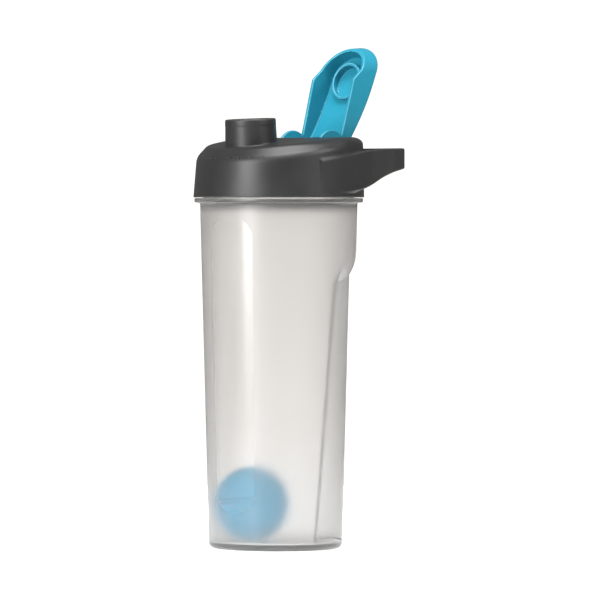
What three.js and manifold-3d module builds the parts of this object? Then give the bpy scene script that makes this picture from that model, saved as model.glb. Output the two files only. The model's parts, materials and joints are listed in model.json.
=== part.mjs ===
// Protein shaker bottle with a screw lid, a flip cap over the drinking spout,
// a carry loop and a loose mixing ball. Millimetres, +Z up. The origin is the
// centre of the base. The spout faces -X, the hinge and the carry loop are at +X.
import * as THREE from "three";
import { mergeVertices } from "three/addons/utils/BufferGeometryUtils.js";
import Module from "manifold-3d";

const wasm = await Module();
wasm.setup();

// ---- driving dimensions ----
const GAP = 0.3; // clearance between pieces that touch
const WIDE = 60; // past the side of every piece

const BODY = {
  baseRadius: 36.85, // outer radius at the foot
  upperRadius: 40.9, // outer radius at upperZ
  topRadius: 41.55, // outer radius under the collar
  upperZ: 155,
  topZ: 182,
  wall: 1.6,
  floorZ: 3.2,
  floorRound: 2.2, // height of the rounded corner between the floor and the wall
  footRound: 2.5,
};
const BASE_GROOVE = { inner: 24, outer: 28, flank: 0.6, depth: 0.5 };
const GRIP = {
  depth: 3.45, // how far the back of the wall is set in
  shoulderZ: 156.5, // where the shoulder starts to turn in
  creaseZ: 145, // where it meets the set-in wall, at the back centre
  creaseDrop: 5.2, // how much lower that is at the sides
  ledgeZ: 3.6, // foot ledge at the back centre
  ledgeRise: 2.7, // how much higher it is at the sides
  ledgeHeight: 0.8,
  edgeLow: 103, // degrees from the back centre to the step, at the foot
  edgeHigh: 84, // the same at the shoulder
  edgeHalf: 1.4, // half the width of the step, in degrees
  cornerFade: 16, // how much the step widens inwards up to the shoulder
  footFlat: 50, // the foot is set in fully up to this angle
};
const COLLAR = { radius: 44.5, bottomZ: 182.3, topZ: 184.5 };
const NECK = { radius: 39.6, bore: 38, topZ: 203.5 };
const THREAD = {
  pitch: 4.5,
  turns: 1.3,
  rootHalf: 1.1,
  tipHalf: 0.5,
  startZ: 189.5,
  neckTip: 41.3,
  lidTip: 40.1,
};
const LID = {
  bottomZ: COLLAR.topZ + GAP,
  bottomRadius: 45.1,
  frontRadius: 43.4, // at the crease above the skirt
  backRadius: 44.7,
  creaseFront: 204.6,
  creaseBack: 210.2,
  bore: 41.9,
  seatZ: 205.6, // where the gasket bears
  deckTop: 216.7,
  deckSlope: 0.137,
  deckTurn: 8, // the deck slopes down ahead of this X
  deckSoft: 4,
};
const PLUG_SKIRT = { inner: 35.9, outer: 37.6, bottomZ: 200 };
const CEILING = { front: 208.8, back: 214, frontX: -36, turn: 8 };
const SPOUT = {
  topX: -21.4,
  topZ: 226.1,
  topRadius: 13.2,
  bore: 11.7,
  lean: 3, // degrees forwards
  draft: 2.2,
  edge: 0.7,
  rootZ: 205, // under the deck, where its turned outline starts
  footFront: 206, // its foot is trimmed on a slant inside the lid's top
  footBack: 214,
};
const HINGE = { x: 21.5, z: 213 };
const PIN = { radius: 1.5, half: 16.9, holeEnd: 17.2 };
const CAP = {
  openLean: 57.5, // degrees from +X to the cap's length when it stands open
  face: 12.7, // outer face to the hinge axis, round the barrel
  bow: 165, // radius of the outer face along the cap
  bowX: 22, // where the outer face is furthest from the hinge axis
  belly: 14.3, // how far it is there
  plate: 1.9,
  wall: 1.7,
  wallDraft: 0.5,
  tip: 61.95, // hinge axis to the far end of the rim
  lipTip: 66, // hinge axis to the far end of the lip on the outer face
  earHalf: 15,
  earX: 6, // where the sides start to widen
  tipHalf: 15.7,
  wideX: 36.3, // where they stop
  edge: 1.4, // rounding of the outer face's edge
  rimTop: 8, // above every part of the rim
  cornerX: 10, // where the side wall's rim meets the ear lobe
  cornerDepth: 6.15,
  kinkX: 40.3, // the deepest point of the side walls
  kinkDepth: 14.7,
  slopeEndX: 47.95,
  slopeEndDepth: 12,
  tipDepth: 11.3,
  lobeRadius: 11.5,
  lobeX: -1.3,
  lobeZ: -5.2,
  barrelEnd: 191, // degrees round the hinge where the rounded end of the plate stops
  plugX: 44.8, // centre of the plug's free edge
  plugZ: -6.8,
  plugTilt: 16.3, // degrees from the cap's length
  plugRadius: 10.1,
  plugWall: 1.3,
};
const POCKET = { half: 15.6, wall: 1.8, endWall: 2.4, clearance: 0.4, reach: 24 };
const LOOP = {
  thick: 4,
  endX: 82,
  endHalf: 17.4, // half-width of the plan just before its end corner
  taper: 0.44, // how fast the plan narrows there
  corner: 3,
  endBottom: 200.5,
  endTop: 211.4,
};
const GASKET = { inner: 37.9, outer: 41.5, bottomZ: 203.85, topZ: 205.3 };
const BALL = { radius: 19.7, wall: 1.8, x: -13, y: 7.5, tilt: 8, bandHalf: 1.6, bandOut: 0.5 };
BALL.z = BODY.floorZ + GAP + BALL.radius;

const RAD = Math.PI / 180;
const COLUMNS = 72;

// ---- colours ----
const frosted = new THREE.MeshStandardMaterial({ color: 0xe4e1de, roughness: 0.45, metalness: 0 });
const charcoal = new THREE.MeshStandardMaterial({ color: 0x3f4042, roughness: 0.42, metalness: 0 });
const blue = new THREE.MeshStandardMaterial({ color: 0x2fa8d0, roughness: 0.38, metalness: 0 });
const silicone = new THREE.MeshStandardMaterial({ color: 0xe9e9e6, roughness: 0.6, metalness: 0 });
const steel = new THREE.MeshStandardMaterial({ color: 0xb9bcc0, roughness: 0.25, metalness: 1 });

// ---- general helpers ----
const lerp = THREE.MathUtils.lerp;
const smooth = (x, from, to) => THREE.MathUtils.smoothstep(x, from, to);

function solidOf(geometry) {
  const plain = geometry.index ? geometry.toNonIndexed() : geometry.clone();
  plain.deleteAttribute("normal");
  plain.deleteAttribute("uv");
  const merged = mergeVertices(plain, 1e-4);
  const corners = merged.index.array;
  const kept = [];
  for (let i = 0; i < corners.length; i += 3) {
    const [a, b, c] = corners.slice(i, i + 3);
    if (a !== b && b !== c && c !== a) {
      kept.push(a, b, c);
    }
  }
  return new wasm.Manifold(
    new wasm.Mesh({
      numProp: 3,
      vertProperties: Float32Array.from(merged.attributes.position.array),
      triVerts: Uint32Array.from(kept),
    }),
  );
}

function geometryOf(solid) {
  const mesh = solid.getMesh();
  const geometry = new THREE.BufferGeometry();
  geometry.setAttribute("position", new THREE.BufferAttribute(mesh.vertProperties, 3));
  geometry.setIndex(new THREE.BufferAttribute(mesh.triVerts, 1));
  const flat = geometry.toNonIndexed();
  flat.computeVertexNormals();
  return flat;
}

// A closed surface from rows of points round the Z axis. point(row, column)
// gives [radius, angle, z]; the first and last rows lie on the axis.
function axialLoft(rows, columns, point) {
  const places = [];
  for (let i = 0; i < rows; i += 1) {
    for (let j = 0; j < columns; j += 1) {
      const [r, angle, z] = point(i, j);
      places.push(new THREE.Vector3(r * Math.cos(angle), r * Math.sin(angle), z));
    }
  }
  const corners = [];
  for (let i = 0; i + 1 < rows; i += 1) {
    for (let j = 0; j < columns; j += 1) {
      const k = (j + 1) % columns;
      const a = places[i * columns + j];
      const b = places[i * columns + k];
      const c = places[(i + 1) * columns + k];
      const d = places[(i + 1) * columns + j];
      corners.push(a, b, c, a, c, d);
    }
  }
  return solidOf(new THREE.BufferGeometry().setFromPoints(corners));
}

// Stacked outlines of equal point counts, closed by a flat cap at each end.
function layerLoft(layers) {
  const corners = [];
  const count = layers[0].length;
  for (let i = 0; i + 1 < layers.length; i += 1) {
    for (let j = 0; j < count; j += 1) {
      const k = (j + 1) % count;
      corners.push(layers[i][j], layers[i][k], layers[i + 1][k]);
      corners.push(layers[i][j], layers[i + 1][k], layers[i + 1][j]);
    }
  }
  for (const [layer, up] of [[layers[0], false], [layers.at(-1), true]]) {
    const flat = layer.map((p) => new THREE.Vector2(p.x, p.y));
    for (const [a, b, c] of THREE.ShapeUtils.triangulateShape(flat, [])) {
      corners.push(layer[a], up ? layer[b] : layer[c], up ? layer[c] : layer[b]);
    }
  }
  return solidOf(new THREE.BufferGeometry().setFromPoints(corners));
}

// A profile of [radius, z] points turned about the Z axis.
function turned(profile, segments = COLUMNS) {
  const points = profile.map(([r, z]) => new THREE.Vector2(r, z));
  const geometry = new THREE.LatheGeometry(points, segments);
  geometry.rotateX(Math.PI / 2);
  return solidOf(geometry);
}

function cylinder(radius, bottom, top, segments = COLUMNS) {
  return turned([[0, bottom], [radius, bottom], [radius, top], [0, top]], segments);
}

// An outline in X and Z given a thickness of 2 * half along Y.
function slab(outline, half) {
  const shape = new THREE.Shape(outline.map(([x, z]) => new THREE.Vector2(x, z)));
  const geometry = new THREE.ExtrudeGeometry(shape, { depth: 2 * half, bevelEnabled: false });
  geometry.rotateX(Math.PI / 2);
  geometry.translate(0, half, 0);
  return solidOf(geometry);
}

// An outline in X and Y given height from bottom to top.
function prism(outline, bottom, top) {
  const shape = new THREE.Shape(outline);
  const geometry = new THREE.ExtrudeGeometry(shape, { depth: top - bottom, bevelEnabled: false });
  geometry.translate(0, 0, bottom);
  return solidOf(geometry);
}

function arc(x, z, radius, from, to, steps) {
  const points = [];
  for (let i = 0; i <= steps; i += 1) {
    const angle = lerp(from, to, i / steps) * RAD;
    points.push([x + radius * Math.cos(angle), z + radius * Math.sin(angle)]);
  }
  return points;
}

// A right-hand screw ridge. root and tip are its inner and outer radii, or the
// other way round for a thread that faces inwards.
function ridge(root, tip, startZ, startAngle) {
  const steps = Math.round(THREAD.turns * 28);
  const sections = [];
  for (let i = 0; i <= steps; i += 1) {
    const turn = (i / steps) * THREAD.turns;
    const angle = startAngle + turn * 2 * Math.PI;
    const z = startZ + turn * THREAD.pitch;
    const fade = Math.min(1, 0.15 + i / 3, 0.15 + (steps - i) / 3);
    const reach = lerp(root, tip, fade);
    const at = (r, dz) => new THREE.Vector3(r * Math.cos(angle), r * Math.sin(angle), z + dz);
    const section = [
      at(root, -THREAD.rootHalf),
      at(reach, -THREAD.tipHalf),
      at(reach, THREAD.tipHalf),
      at(root, THREAD.rootHalf),
    ];
    sections.push(tip > root ? section : section.reverse());
  }
  const corners = [];
  const quad = (a, b, c, d) => corners.push(a, b, c, a, c, d);
  for (let i = 0; i < steps; i += 1) {
    for (let j = 0; j < 4; j += 1) {
      const k = (j + 1) % 4;
      quad(sections[i][k], sections[i][j], sections[i + 1][j], sections[i + 1][k]);
    }
  }
  quad(...sections[0]);
  quad(...[...sections[steps]].reverse());
  return solidOf(new THREE.BufferGeometry().setFromPoints(corners));
}

// ---- bottle body ----
function frontRadius(z) {
  if (z < BODY.upperZ) {
    return lerp(BODY.baseRadius, BODY.upperRadius, z / BODY.upperZ);
  }
  return lerp(BODY.upperRadius, BODY.topRadius, (z - BODY.upperZ) / (BODY.topZ - BODY.upperZ));
}

const sideShare = (angle) => (Math.abs(angle) / GRIP.edgeHigh) ** 3;

function creaseHeight(angle) {
  return GRIP.creaseZ - GRIP.creaseDrop * Math.min(sideShare(angle), 1);
}

function ledgeHeight(angle) {
  return GRIP.ledgeZ + GRIP.ledgeRise * Math.min(sideShare(angle), 1);
}

function edgeAngle(z) {
  const share = THREE.MathUtils.clamp(z / GRIP.creaseZ, 0, 1);
  return lerp(GRIP.edgeLow, GRIP.edgeHigh, share);
}

// How far the wall is set in at an angle, in degrees from the back centre.
function gripInset(angle, z) {
  const away = Math.abs(angle);
  const edge = edgeAngle(z);
  const crease = creaseHeight(angle);
  const fade = GRIP.edgeHalf + GRIP.cornerFade * smooth(z, crease, GRIP.shoulderZ);
  const inside = 1 - smooth(away, edge - fade, edge + GRIP.edgeHalf);
  const foot = 1 - smooth(away, GRIP.footFlat, GRIP.edgeLow);
  let depth = GRIP.depth;
  if (z > crease) {
    const height = GRIP.shoulderZ - crease;
    const bend = (height ** 2 + GRIP.depth ** 2) / (2 * GRIP.depth);
    const drop = Math.max(GRIP.shoulderZ - z, 0);
    depth = bend - Math.sqrt(bend ** 2 - drop ** 2);
  }
  const ledge = ledgeHeight(angle);
  const above = smooth(z, ledge, ledge + GRIP.ledgeHeight);
  return lerp(GRIP.depth * foot, depth * inside, above);
}

// Columns crowd towards the slanted edge of the grip and follow it.
function columnAngle(column, columns, z) {
  const half = columns / 2;
  const signed = column <= half ? column : column - columns;
  const edge = edgeAngle(z);
  const stepStart = Math.round(half * 0.47);
  const stepEnd = stepStart + 2;
  const place = Math.abs(signed);
  let angle = lerp(edge + GRIP.edgeHalf, 180, (place - stepEnd) / (half - stepEnd));
  if (place < stepStart) {
    angle = ((edge - GRIP.edgeHalf) * place) / stepStart;
  } else if (place <= stepEnd) {
    angle = edge + GRIP.edgeHalf * (place - stepStart - 1);
  }
  return Math.sign(signed) * angle;
}

function bottleBody() {
  const wallPoint = (z, inset) => (angle) => {
    const height = typeof z === "function" ? z(angle) : z;
    return [frontRadius(height) - gripInset(angle, height) - inset, height];
  };
  const ring = (radius, z) => () => [radius, z];
  const footRow = (turn) => (angle) => {
    const edge = BODY.footRound * (1 - Math.sin(turn * RAD));
    const z = BODY.footRound * (1 - Math.cos(turn * RAD));
    return [frontRadius(0) - gripInset(angle, 0) - edge, z];
  };
  const shoulder = (share) => (angle) => lerp(creaseHeight(angle), GRIP.shoulderZ, share);
  const wallRows = [
    ledgeHeight,
    (angle) => ledgeHeight(angle) + GRIP.ledgeHeight,
    40,
    90,
    shoulder(0),
    shoulder(0.3),
    shoulder(0.65),
    shoulder(1),
  ];
  const floorEdge = BODY.floorZ + BODY.floorRound;
  const groove = BASE_GROOVE;
  const neckFoot = COLLAR.bottomZ + 1.4;
  const rows = [
    ring(0, 0),
    ring(groove.inner, 0),
    ring(groove.inner + groove.flank, groove.depth),
    ring(groove.outer - groove.flank, groove.depth),
    ring(groove.outer, 0),
    ...[0, 30, 60, 90].map(footRow),
    ...wallRows.map((z) => wallPoint(z, 0)),
    wallPoint(BODY.topZ, 0),
    ring(COLLAR.radius, COLLAR.bottomZ),
    ring(COLLAR.radius, COLLAR.topZ),
    ring(NECK.radius, COLLAR.topZ),
    ring(NECK.radius, NECK.topZ),
    ring(NECK.bore, NECK.topZ),
    ring(NECK.bore, neckFoot),
    wallPoint(BODY.topZ - 3, BODY.wall),
    ...wallRows.slice(2).reverse().map((z) => wallPoint(z, BODY.wall)),
    wallPoint(floorEdge + 4, BODY.wall),
    wallPoint(floorEdge, BODY.wall + 0.2),
    (angle) => [wallPoint(floorEdge, BODY.wall + BODY.floorRound)(angle)[0], BODY.floorZ],
    ring(0, BODY.floorZ),
  ];
  const shell = axialLoft(rows.length, COLUMNS, (i, j) => {
    const first = columnAngle(j, COLUMNS, 90);
    const [, near] = rows[i](first);
    const angle = columnAngle(j, COLUMNS, near);
    const [r, z] = rows[i](angle);
    return [r, angle * RAD, z];
  });
  const thread = ridge(NECK.radius - 0.5, THREAD.neckTip, THREAD.startZ, 0);
  return shell.add(thread);
}

// ---- lid ----
function deckHeight(x) {
  const ahead = LID.deckTurn - x;
  const fall = (ahead + Math.sqrt(ahead ** 2 + LID.deckSoft ** 2)) / 2;
  return LID.deckTop - LID.deckSlope * fall;
}

// Outer profile of the lid at one angle, from the skirt up to the deck's middle.
function lidProfile(angle) {
  const facing = Math.cos(angle);
  const creaseRadius = lerp(LID.frontRadius, LID.backRadius, smooth(facing, -0.6, 0.7));
  const creaseX = creaseRadius * facing;
  const creaseZ = lerp(LID.creaseFront, LID.creaseBack, smooth(creaseX, -43, 0));
  const towardsBack = smooth(creaseX, -28, 14);
  const bevelRadius = creaseRadius - lerp(5, 0.2, towardsBack);
  const flatRadius = lerp(36.4, 38.8, towardsBack);
  const flatZ = deckHeight(flatRadius * facing);
  const bevelZ = Math.min(deckHeight(bevelRadius * facing), flatZ) - lerp(0.5, 3.7, towardsBack);
  const points = [
    [0, LID.bottomZ],
    [LID.bottomRadius - 0.4, LID.bottomZ],
    [LID.bottomRadius, LID.bottomZ + 0.5],
    [creaseRadius, creaseZ],
    [bevelRadius, bevelZ],
  ];
  for (const turn of [30, 60, 90]) {
    const across = Math.sin(turn * RAD);
    const up = 1 - Math.cos(turn * RAD);
    points.push([
      lerp(bevelRadius, flatRadius, up),
      lerp(bevelZ, flatZ, across),
    ]);
  }
  for (const share of [0.75, 0.5, 0.25, 0]) {
    points.push([flatRadius * share, deckHeight(flatRadius * share * facing)]);
  }
  return points;
}

function spoutAxis(solid) {
  const shift = new THREE.Matrix4().makeTranslation(SPOUT.topX, 0, SPOUT.topZ);
  const tilt = new THREE.Matrix4().makeRotationY(-SPOUT.lean * RAD);
  return solid.transform(shift.multiply(tilt).elements);
}

// Half of the carry loop's plan, for Y >= 0, from the skirt to the end. inset
// moves it inwards, so 0 gives the outer face and the strap's thickness the inner.
function loopHalfPlan(inset) {
  const along = new THREE.CatmullRomCurve3(
    [
      [-14, 42.2],
      [-2, 44.6],
      [8, 44.9],
      [18, 44],
      [30, 41],
      [50, 31.2],
      [66, 22.24],
      [LOOP.endX - 5, LOOP.endHalf],
    ].map(([x, y]) => new THREE.Vector3(x, y, 0)),
  );
  const points = along.getPoints(22).map((p) => new THREE.Vector2(p.x, p.y));
  const moved = points.map((p, i) => {
    const before = points[Math.max(i - 1, 0)];
    const after = points[Math.min(i + 1, points.length - 1)];
    const run = after.clone().sub(before).normalize();
    return new THREE.Vector2(p.x + run.y * inset, p.y - run.x * inset);
  });
  const bend = Math.max(LOOP.corner - inset, 1);
  const centreX = LOOP.endX - inset - bend;
  const armY = LOOP.endHalf - LOOP.taper * (centreX - LOOP.endX + 5);
  const centreY = armY - (inset + bend) * Math.hypot(1, LOOP.taper);
  const start = 90 - Math.atan(LOOP.taper) / RAD;
  for (const [x, y] of arc(centreX, centreY, bend, start, 0, 3)) {
    moved.push(new THREE.Vector2(x, y));
  }
  return moved;
}

function mirrored(points) {
  const other = points.map((p) => new THREE.Vector2(p.x, -p.y));
  return [...other, ...points.slice().reverse()];
}

function carryLoop() {
  const lowest = LID.bottomZ;
  const highest = LID.deckTop;
  const ring = prism(mirrored(loopHalfPlan(0)), lowest, highest).subtract(
    prism(mirrored(loopHalfPlan(LOOP.thick)), lowest - 1, highest + 1),
  );
  const under = new THREE.SplineCurve(
    [
      [-12, 187.6],
      [8, 187.6],
      [19, 189],
      [34, 192.8],
      [46, 195.4],
      [58, 197.2],
      [LOOP.endX + 2, LOOP.endBottom],
    ].map(([x, z]) => new THREE.Vector2(x, z)),
  ).getPoints(16);
  const over = new THREE.SplineCurve(
    [
      [LOOP.endX + 2, LOOP.endTop],
      [50, 210.6],
      [24, 209.6],
      [0, 206.2],
      [-12, 204.4],
    ].map(([x, z]) => new THREE.Vector2(x, z)),
  ).getPoints(12);
  const side = slab([...under, ...over].map((p) => [p.x, p.y]), WIDE);
  return ring.intersect(side);
}

// Room round the flip cap's ears and outer face, seen from the side. wall
// widens it by a wall's thickness.
function pocketOutline(wall, top) {
  const clearance = POCKET.clearance + wall;
  const radius = CAP.face + clearance;
  const bowl = arc(HINGE.x, HINGE.z, radius, 180, CAP.barrelEnd + CAP.openLean, 10);
  const cos = Math.cos(CAP.openLean * RAD);
  const sin = Math.sin(CAP.openLean * RAD);
  const rear = facePath(-clearance, POCKET.reach, 8)
    .slice(1)
    .map(([x, z]) => [HINGE.x + x * cos - z * sin, HINGE.z + x * sin + z * cos])
    .filter(([, z]) => z < top);
  const [lastX, lastZ] = rear.at(-1);
  const run = (top - lastZ) / Math.tan(CAP.openLean * RAD);
  return [[HINGE.x - radius, top], ...bowl, ...rear, [lastX + run, top]];
}

function lidShell() {
  const profiles = [];
  for (let j = 0; j < COLUMNS; j += 1) {
    profiles.push(lidProfile((j / COLUMNS) * 2 * Math.PI));
  }
  const cover = axialLoft(profiles[0].length, COLUMNS, (i, j) => [
    profiles[j][i][0],
    (j / COLUMNS) * 2 * Math.PI,
    profiles[j][i][1],
  ]);
  const depth = SPOUT.topZ - SPOUT.rootZ;
  const flare = depth * Math.tan(SPOUT.draft * RAD);
  const spout = spoutAxis(
    turned([
      [0, -depth],
      [SPOUT.topRadius + flare, -depth],
      [SPOUT.topRadius, -SPOUT.edge],
      [SPOUT.topRadius - SPOUT.edge, 0],
      [0, 0],
    ], 48),
  );
  const bore = cylinder(LID.bore, 0, LID.seatZ);
  const ceiling = slab(
    [
      [-WIDE, 0],
      [WIDE, 0],
      [WIDE, CEILING.back],
      [CEILING.turn, CEILING.back],
      [CEILING.frontX, CEILING.front],
      [-WIDE, CEILING.front],
    ],
    WIDE,
  ).intersect(cylinder(PLUG_SKIRT.inner, LID.bottomZ, CEILING.back));
  const skirt = cylinder(PLUG_SKIRT.outer, PLUG_SKIRT.bottomZ, LID.seatZ + 1);
  const pocket = slab(pocketOutline(0, SPOUT.topZ), POCKET.half);
  const well = slab(pocketOutline(POCKET.wall, CEILING.back), POCKET.half + POCKET.endWall)
    .intersect(cylinder(PLUG_SKIRT.outer, LID.bottomZ, CEILING.back));
  const bar = slab(arc(HINGE.x, HINGE.z, PIN.radius + GAP, 0, 345, 23), PIN.holeEnd);
  const underFoot = [[-WIDE, 0], [WIDE, 0], [WIDE, SPOUT.footBack], [-WIDE, SPOUT.footFront]];
  const channel = spoutAxis(cylinder(SPOUT.bore, -WIDE, 1, 48));
  const thread = ridge(
    LID.bore + 0.5,
    THREAD.lidTip,
    THREAD.startZ - THREAD.pitch / 2,
    0,
  );
  return cover
    .add(carryLoop())
    .subtract(bore)
    .add(skirt)
    .subtract(ceiling)
    .add(spout.subtract(slab(underFoot, WIDE)))
    .add(well)
    .subtract(pocket)
    .subtract(bar)
    .subtract(channel)
    .add(thread);
}

// ---- flip cap, modelled lying on its outer face with X along its length ----
function capHalfWidth(x) {
  const share = THREE.MathUtils.clamp((x - CAP.earX) / (CAP.wideX - CAP.earX), 0, 1);
  return lerp(CAP.earHalf, CAP.tipHalf, share);
}

// The outer face, or a surface set in from it, from the rounded end at the
// hinge to x = end.
function facePath(inset, end, steps) {
  const bowZ = CAP.bow - CAP.belly;
  const tangent = 180 + Math.atan2(bowZ, CAP.bowX) / RAD;
  const path = arc(0, 0, CAP.face - inset, CAP.barrelEnd, tangent, 8);
  const radius = CAP.bow - inset;
  const turn = Math.acos((end - CAP.bowX) / radius) / RAD;
  path.push(...arc(CAP.bowX, bowZ, radius, tangent, 360 - turn, steps).slice(1));
  return path;
}

// The cap's rim and hinge end seen from the side, closed by the outer face.
function capSide(inset) {
  const face = facePath(inset, CAP.lipTip + 2, 12);
  const [endX, endZ] = face[0];
  const cornerZ = CAP.cornerDepth - CAP.face;
  const lobeStart = Math.atan2(cornerZ - CAP.lobeZ, CAP.cornerX - CAP.lobeX) / RAD;
  const lobeEnd = Math.atan2(endZ - CAP.lobeZ, endX - CAP.lobeX) / RAD;
  return [
    ...face,
    [CAP.lipTip + 2, CAP.tipDepth - CAP.face],
    [CAP.slopeEndX, CAP.slopeEndDepth - CAP.face],
    [CAP.kinkX, CAP.kinkDepth - CAP.face],
    ...arc(CAP.lobeX, CAP.lobeZ, CAP.lobeRadius, lobeStart, lobeEnd, 16),
  ];
}

function faceHeight(x, inset) {
  return CAP.bow - CAP.belly - Math.sqrt((CAP.bow - inset) ** 2 - (x - CAP.bowX) ** 2);
}

// Both edges of the cap's outline at one stage of the rounding of its face.
function faceEdge(inset, rise) {
  const centre = CAP.lipTip - CAP.tipHalf;
  const points = [];
  for (const [x, z] of facePath(rise, centre, 8)) {
    const y = capHalfWidth(x) - inset;
    points.push([x, y, z], [x, -y, z]);
  }
  for (const [x, y] of arc(centre, 0, CAP.tipHalf - inset, -90, 90, 20)) {
    points.push([x, y, faceHeight(x, rise)]);
  }
  return points;
}

function capPlan(inset, tip, z, backX) {
  const ear = CAP.earHalf - inset;
  const wide = CAP.tipHalf - inset;
  return [
    [backX, -ear],
    [CAP.earX, -ear],
    [CAP.wideX, -wide],
    ...arc(tip - CAP.tipHalf, 0, wide, -90, 90, 20),
    [CAP.wideX, wide],
    [CAP.earX, ear],
    [backX, ear],
  ].map(([x, y]) => new THREE.Vector3(x, y, z));
}

function flipCap() {
  const edges = [0, 30, 60, 90].flatMap((turn) =>
    faceEdge(CAP.edge * (1 - Math.sin(turn * RAD)), CAP.edge * (1 - Math.cos(turn * RAD))));
  const rimZ = CAP.tipDepth - CAP.face;
  const flare = (CAP.lipTip - CAP.tip) / (rimZ - faceHeight(CAP.lipTip, CAP.edge));
  const highTip = CAP.tip - flare * (CAP.rimTop - rimZ);
  const top = capPlan(0, highTip, CAP.rimTop, -CAP.face).map((p) => p.toArray());
  const outside = wasm.Manifold.hull([...edges, ...top]);
  const inside = layerLoft([
    capPlan(CAP.wall + CAP.wallDraft, CAP.tip, -CAP.belly - 1, -WIDE),
    capPlan(CAP.wall, CAP.tip, CAP.rimTop, -WIDE),
  ]);
  const floor = facePath(CAP.plate, CAP.lipTip, 12);
  const room = slab([...floor, [CAP.lipTip, WIDE], [-WIDE, WIDE], [-WIDE, floor[0][1]]], WIDE);
  const plug = turned([
    [CAP.plugRadius - CAP.plugWall, -CAP.belly],
    [CAP.plugRadius, -CAP.belly],
    [CAP.plugRadius, 0],
    [CAP.plugRadius - CAP.plugWall, 0],
    [CAP.plugRadius - CAP.plugWall, -CAP.belly],
  ], 40)
    .rotate([0, -CAP.plugTilt, 0])
    .translate([CAP.plugX, 0, CAP.plugZ])
    .intersect(slab(capSide(CAP.plate / 2), WIDE));
  const hole = slab(arc(0, 0, PIN.radius + GAP, 0, 345, 23), WIDE);
  return outside
    .intersect(slab(capSide(0), WIDE))
    .subtract(inside.intersect(room))
    .add(plug)
    .subtract(hole);
}

// ---- small pieces ----
function gasket() {
  return turned([
    [GASKET.inner, GASKET.bottomZ],
    [GASKET.outer, GASKET.bottomZ],
    [GASKET.outer, GASKET.topZ],
    [GASKET.inner, GASKET.topZ],
    [GASKET.inner, GASKET.bottomZ],
  ]);
}

function hingePin() {
  return slab(arc(0, 0, PIN.radius, 0, 345, 23), PIN.half);
}

// Half of the mixing ball: a cup with a raised band at its rim. side is 1 for
// the upper half and -1 for the lower one.
function ballHalf(side) {
  const { radius, wall, bandHalf, bandOut } = BALL;
  const rim = GAP / 2;
  const outer = arc(0, 0, radius, 90, Math.asin(bandHalf / radius) / RAD, 8);
  const inner = arc(0, 0, radius - wall, 0, 90, 7).slice(1);
  const profile = [
    ...outer,
    [radius + bandOut, bandHalf - 0.3],
    [radius + bandOut, rim],
    [radius - wall, rim],
    ...inner,
  ];
  profile[0][0] = 0;
  profile.at(-1)[0] = 0;
  const cup = profile.map(([r, z]) => [r, side * z]);
  return turned(side > 0 ? cup.reverse() : cup, 32);
}

// ---- assembly ----
const shaker = new THREE.Group();

function addPiece(name, solid, material, parent = shaker) {
  const mesh = new THREE.Mesh(geometryOf(solid), material);
  mesh.name = name;
  parent.add(mesh);
  return mesh;
}

addPiece("bottle_body", bottleBody(), frosted);
addPiece("lid_shell", lidShell(), charcoal);
addPiece("lid_gasket", gasket(), silicone);

const hinge = new THREE.Group();
hinge.position.set(HINGE.x, 0, HINGE.z);
shaker.add(hinge);
addPiece("hinge_pin", hingePin(), steel, hinge);
const cap = addPiece("flip_cap", flipCap(), blue, hinge);
cap.rotation.y = -CAP.openLean * RAD;

const ball = new THREE.Group();
ball.position.set(BALL.x, BALL.y, BALL.z);
ball.rotation.set(-BALL.tilt * RAD, BALL.tilt * RAD, 0);
shaker.add(ball);
addPiece("mixer_ball_upper", ballHalf(1), blue, ball);
addPiece("mixer_ball_lower", ballHalf(-1), blue, ball);

export default shaker;
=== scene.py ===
"""Looks of a protein shaker bottle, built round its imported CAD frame.

Shapes are worked out in millimetres in the CAD's own frame: +Z up, the origin at the
centre of the base, the spout at -X, the hinge and the carry loop at +X.
"""
import json
import math
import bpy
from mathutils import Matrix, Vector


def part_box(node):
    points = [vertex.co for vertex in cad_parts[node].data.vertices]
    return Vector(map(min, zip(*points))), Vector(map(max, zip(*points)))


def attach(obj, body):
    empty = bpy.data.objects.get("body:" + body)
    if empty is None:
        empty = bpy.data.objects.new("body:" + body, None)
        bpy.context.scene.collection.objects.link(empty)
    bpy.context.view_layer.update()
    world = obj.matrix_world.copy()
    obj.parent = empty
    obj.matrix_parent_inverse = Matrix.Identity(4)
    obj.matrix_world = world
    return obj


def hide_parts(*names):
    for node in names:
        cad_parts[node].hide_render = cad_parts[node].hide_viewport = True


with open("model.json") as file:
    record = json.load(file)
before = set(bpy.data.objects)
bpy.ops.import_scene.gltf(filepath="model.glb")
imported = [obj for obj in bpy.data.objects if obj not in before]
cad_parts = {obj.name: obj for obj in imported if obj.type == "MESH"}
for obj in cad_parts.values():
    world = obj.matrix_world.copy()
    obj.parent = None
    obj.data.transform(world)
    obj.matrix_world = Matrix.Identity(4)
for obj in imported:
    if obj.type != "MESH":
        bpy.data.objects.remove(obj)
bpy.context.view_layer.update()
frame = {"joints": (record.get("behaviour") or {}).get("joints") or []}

from types import SimpleNamespace

import bpy
import numpy as np
from mathutils import Matrix, Vector

MM = 0.001

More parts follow.
